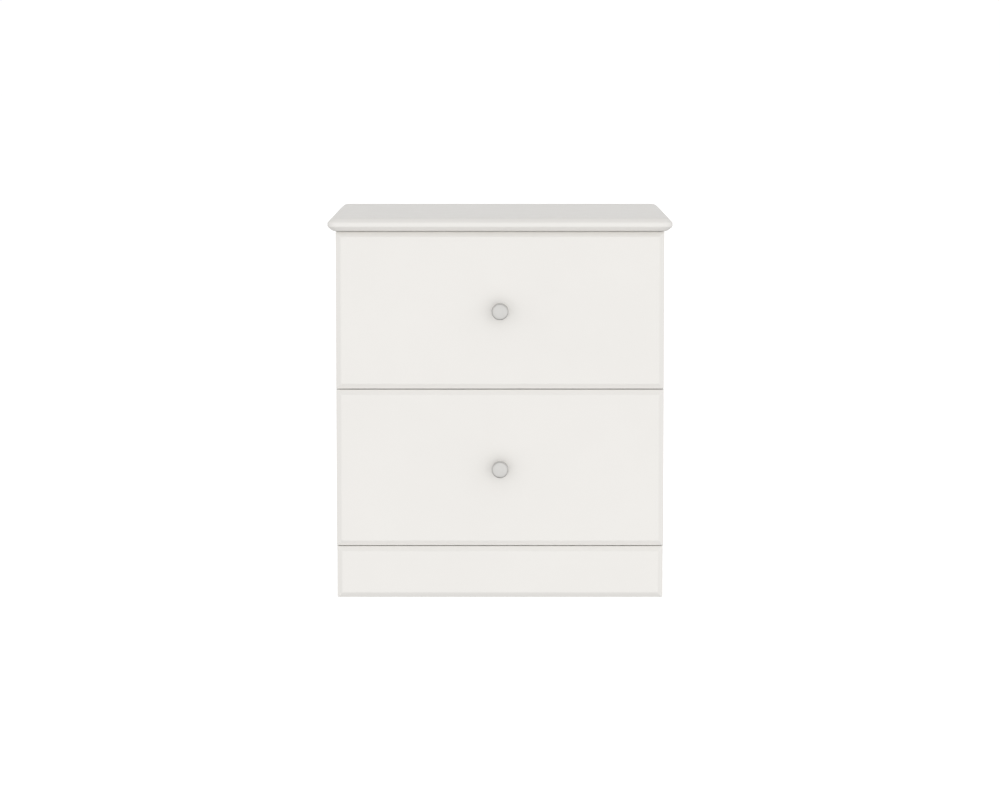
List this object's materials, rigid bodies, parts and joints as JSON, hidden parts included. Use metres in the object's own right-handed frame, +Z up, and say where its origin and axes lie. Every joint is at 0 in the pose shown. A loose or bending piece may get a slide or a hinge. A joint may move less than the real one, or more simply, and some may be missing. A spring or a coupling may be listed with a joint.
{
  "type": "nightstand with drawers",
  "caption": "Bedside cabinet in warm white with a moulded overhanging top, bevelled full-width drawer fronts on roller runners, small round satin knobs and a plinth to the floor.",
  "frame": {"origin": "on the floor, below the middle of the overall box with its knobs", "axes": "+Z up, +Y to the back, +X to the right of someone facing the drawers' front from outside"},
  "size_m": [0.45, 0.4236, 0.5],
  "materials": {
    "white_foil": "warm white satin foil wrapped over fibreboard",
    "white_board": "warm white faced board with raw edges at the back",
    "drawer_board": "white foil-wrapped drawer board",
    "hardboard": "thin hardboard, white inside and brown behind",
    "beech": "plain fluted beech",
    "satin_nickel": "satin nickel plate",
    "zinc_steel": "bright zinc plated steel",
    "zinc_casting": "dull zinc casting",
    "coated_steel": "white epoxy coat on bent steel sheet",
    "nylon": "natural white nylon",
    "soft_buffer": "clear soft buffer",
    "block_plastic": "white moulded plastic"
  },
  "bodies": {
    "cabinet": {"back_panel": "hardboard", "back_panel_screws": "zinc_steel", "bottom_panel": "white_board", "cabinet_roller_rivets": "zinc_steel", "cabinet_runner_screws": "zinc_steel", "cam_bolts": "zinc_steel", "cam_locks": "zinc_casting", "carcass_dowels": "beech", "carcass_screws": "zinc_steel", "drawer_buffers": "soft_buffer", "front_top_rail": "white_board", "left_side_panel": "white_board", "lower_left_cabinet_runner": "coated_steel", "lower_right_cabinet_runner": "coated_steel", "plinth_back": "white_board", "plinth_corner_blocks": "block_plastic", "plinth_front": "white_foil", "rear_top_rail": "white_board", "right_side_panel": "white_board", "top_panel": "white_foil", "upper_left_cabinet_runner": "coated_steel", "upper_right_cabinet_runner": "coated_steel"},
    "upper_drawer": {"upper_drawer_back": "drawer_board", "upper_drawer_bottom": "hardboard", "upper_drawer_box_dowels": "beech", "upper_drawer_front": "white_foil", "upper_drawer_front_screws": "zinc_steel", "upper_drawer_inner_front": "drawer_board", "upper_drawer_knob": "satin_nickel", "upper_drawer_knob_screw": "zinc_steel", "upper_drawer_left_side": "drawer_board", "upper_drawer_right_side": "drawer_board", "upper_drawer_roller_rivets": "zinc_steel", "upper_drawer_runner_screws": "zinc_steel", "upper_left_drawer_runner": "coated_steel", "upper_right_drawer_runner": "coated_steel"},
    "lower_drawer": {"lower_drawer_back": "drawer_board", "lower_drawer_bottom": "hardboard", "lower_drawer_box_dowels": "beech", "lower_drawer_front": "white_foil", "lower_drawer_front_screws": "zinc_steel", "lower_drawer_inner_front": "drawer_board", "lower_drawer_knob": "satin_nickel", "lower_drawer_knob_screw": "zinc_steel", "lower_drawer_left_side": "drawer_board", "lower_drawer_right_side": "drawer_board", "lower_drawer_roller_rivets": "zinc_steel", "lower_drawer_runner_screws": "zinc_steel", "lower_left_drawer_runner": "coated_steel", "lower_right_drawer_runner": "coated_steel"},
    "lower_left_front_roller": {"lower_left_front_roller": "nylon"},
    "lower_left_rear_roller": {"lower_left_rear_roller": "nylon"},
    "lower_right_front_roller": {"lower_right_front_roller": "nylon"},
    "lower_right_rear_roller": {"lower_right_rear_roller": "nylon"},
    "upper_left_front_roller": {"upper_left_front_roller": "nylon"},
    "upper_left_rear_roller": {"upper_left_rear_roller": "nylon"},
    "upper_right_front_roller": {"upper_right_front_roller": "nylon"},
    "upper_right_rear_roller": {"upper_right_rear_roller": "nylon"}
  },
  "joints": [
    {"name": "lower_drawer_slide", "type": "slide", "parent": "cabinet", "child": "lower_drawer", "axis": [0, -1, 0], "range_m": [0, 0.261]},
    {"name": "lower_left_front_roller_spin", "type": "hinge", "parent": "cabinet", "child": "lower_left_front_roller", "pos_m": [-0.19325, -0.15125, 0.0947], "axis": [1, 0, 0], "range_deg": [-10, 1676.6]},
    {"name": "lower_left_rear_roller_spin", "type": "hinge", "parent": "lower_drawer", "child": "lower_left_rear_roller", "pos_m": [-0.19325, 0.16575, 0.0945], "axis": [1, 0, 0], "range_deg": [-10, 1676.6]},
    {"name": "lower_right_front_roller_spin", "type": "hinge", "parent": "cabinet", "child": "lower_right_front_roller", "pos_m": [0.19325, -0.15125, 0.0947], "axis": [1, 0, 0], "range_deg": [-10, 1676.6]},
    {"name": "lower_right_rear_roller_spin", "type": "hinge", "parent": "lower_drawer", "child": "lower_right_rear_roller", "pos_m": [0.19325, 0.16575, 0.0945], "axis": [1, 0, 0], "range_deg": [-10, 1676.6]},
    {"name": "upper_drawer_slide", "type": "slide", "parent": "cabinet", "child": "upper_drawer", "axis": [0, -1, 0], "range_m": [0, 0.261]},
    {"name": "upper_left_front_roller_spin", "type": "hinge", "parent": "cabinet", "child": "upper_left_front_roller", "pos_m": [-0.19325, -0.15125, 0.3014], "axis": [1, 0, 0], "range_deg": [-10, 1676.6]},
    {"name": "upper_left_rear_roller_spin", "type": "hinge", "parent": "upper_drawer", "child": "upper_left_rear_roller", "pos_m": [-0.19325, 0.16575, 0.3012], "axis": [1, 0, 0], "range_deg": [-10, 1676.6]},
    {"name": "upper_right_front_roller_spin", "type": "hinge", "parent": "cabinet", "child": "upper_right_front_roller", "pos_m": [0.19325, -0.15125, 0.3014], "axis": [1, 0, 0], "range_deg": [-10, 1676.6]},
    {"name": "upper_right_rear_roller_spin", "type": "hinge", "parent": "upper_drawer", "child": "upper_right_rear_roller", "pos_m": [0.19325, 0.16575, 0.3012], "axis": [1, 0, 0], "range_deg": [-10, 1676.6]}
  ],
  "couplings": [
    {"joint": "lower_left_front_roller_spin", "follows": "lower_drawer_slide", "rad_per_m": 111.11},
    {"joint": "lower_left_rear_roller_spin", "follows": "lower_drawer_slide", "rad_per_m": 111.11},
    {"joint": "lower_right_front_roller_spin", "follows": "lower_drawer_slide", "rad_per_m": 111.11},
    {"joint": "lower_right_rear_roller_spin", "follows": "lower_drawer_slide", "rad_per_m": 111.11},
    {"joint": "upper_left_front_roller_spin", "follows": "upper_drawer_slide", "rad_per_m": 111.11},
    {"joint": "upper_left_rear_roller_spin", "follows": "upper_drawer_slide", "rad_per_m": 111.11},
    {"joint": "upper_right_front_roller_spin", "follows": "upper_drawer_slide", "rad_per_m": 111.11},
    {"joint": "upper_right_rear_roller_spin", "follows": "upper_drawer_slide", "rad_per_m": 111.11}
  ]
}
